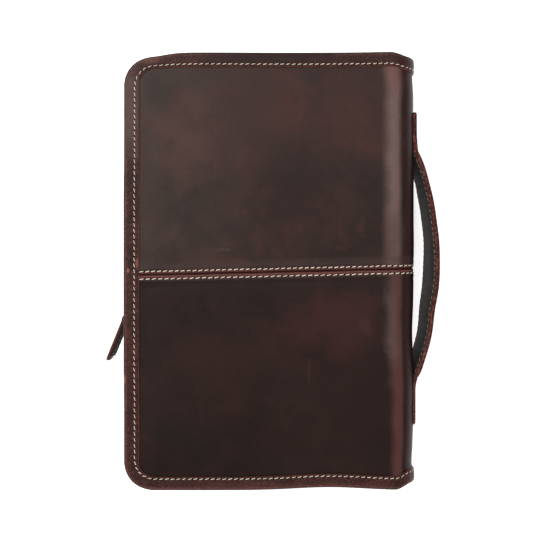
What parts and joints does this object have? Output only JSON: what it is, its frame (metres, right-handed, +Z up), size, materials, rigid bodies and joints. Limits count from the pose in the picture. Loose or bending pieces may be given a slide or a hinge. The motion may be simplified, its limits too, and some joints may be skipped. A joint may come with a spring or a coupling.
{
  "type": "zip-around bible case",
  "caption": "Dark brown stitched leather zip-around case with a carry handle on its spine, opening flat on a bound bible held inside.",
  "frame": {"origin": "centre of the back cover's outer face, on the plane the closed case rests on, without the handle and the pulls", "axes": "+Z up through the thickness to the front cover, +Y towards the head of the book, +X towards the spine and handle"},
  "size_m": [0.2003, 0.254, 0.048],
  "materials": {
    "panel_leather": "oiled, slight sheen",
    "edge_leather": "burnished",
    "inner_leather": "matt",
    "stiffener_board": "raw",
    "lining_cloth": "woven",
    "zip_tape": "woven",
    "zip_metal": "antiqued",
    "book_cover": "grained",
    "mull": "open weave",
    "headband": "striped",
    "pages": "gilt edges",
    "ribbon": "satin"
  },
  "bodies": {
    "back": {"back_upper_panel": "panel_leather", "back_lower_panel": "panel_leather", "back_binding": "edge_leather", "back_board": "stiffener_board", "back_lining": "lining_cloth", "back_sleeve": "inner_leather", "back_gusset": "inner_leather", "back_zip_tape": "zip_tape", "back_zip_chain": "zip_metal", "back_zip_stops": "zip_metal", "book_back_cover": "book_cover", "book_spine": "book_cover", "book_spine_mull": "mull", "book_headbands": "headband", "book_pages": "pages", "book_ribbon": "ribbon"},
    "spine": {"spine_upper_panel": "panel_leather", "spine_lower_panel": "panel_leather", "spine_binding": "edge_leather", "spine_board": "stiffener_board", "spine_lining": "lining_cloth", "handle_strap": "edge_leather", "handle_lining": "lining_cloth"},
    "front": {"front_upper_panel": "panel_leather", "front_lower_panel": "panel_leather", "front_binding": "edge_leather", "front_board": "stiffener_board", "front_lining": "lining_cloth", "front_sleeve": "inner_leather", "front_gusset": "inner_leather", "front_zip_tape": "zip_tape", "front_zip_chain": "zip_metal", "front_zip_stops": "zip_metal"},
    "lower_slider": {"lower_slider": "zip_metal"},
    "lower_pull": {"lower_pull_ring": "zip_metal", "lower_pull_tab": "edge_leather", "lower_pull_lining": "lining_cloth"},
    "upper_slider": {"upper_slider": "zip_metal"},
    "upper_pull": {"upper_pull_ring": "zip_metal", "upper_pull_tab": "edge_leather", "upper_pull_lining": "lining_cloth"},
    "book_front": {"book_front_cover": "book_cover"},
    "book_leaves": {"book_front_leaves": "pages"}
  },
  "joints": [
    {"name": "spine_fold", "type": "hinge", "parent": "back", "child": "spine", "pos_m": [0.08315, 0, 0.00235], "axis": [0, 1, 0], "range_deg": [0, 90]},
    {"name": "cover_fold", "type": "hinge", "parent": "spine", "child": "front", "pos_m": [0.08315, 0, 0.04565], "axis": [0, 1, 0], "range_deg": [0, 90]},
    {"name": "book_cover_turn", "type": "hinge", "parent": "back", "child": "book_front", "pos_m": [0.0725, 0, 0.0429], "axis": [0, 1, 0], "range_deg": [0, 195]},
    {"name": "leaves_turn", "type": "hinge", "parent": "back", "child": "book_leaves", "pos_m": [0.0725, 0, 0.0429], "axis": [0, 1, 0], "range_deg": [0, 190]},
    {"name": "lower_zip_run", "type": "slide", "parent": "back", "child": "lower_slider", "axis": [0, -1, 0], "range_m": [0, 0.08]},
    {"name": "lower_pull_swing", "type": "hinge", "parent": "lower_slider", "child": "lower_pull", "pos_m": [-0.08335, -0.0182, 0.024], "axis": [0, 0, 1], "range_deg": [-75, 21]},
    {"name": "upper_zip_run", "type": "slide", "parent": "back", "child": "upper_slider", "axis": [0, 1, 0], "range_m": [0, 0.1]},
    {"name": "upper_pull_swing", "type": "hinge", "parent": "upper_slider", "child": "upper_pull", "pos_m": [-0.08335, -0.0026, 0.024], "axis": [0, 0, 1], "range_deg": [-2.5, 92]}
  ],
  "couplings": [
    {"joint": "spine_fold", "follows": "cover_fold", "ratio": 1},
    {"joint": "book_cover_turn", "follows": "cover_fold", "ratio": 2.16},
    {"joint": "leaves_turn", "follows": "cover_fold", "ratio": 2.1}
  ]
}
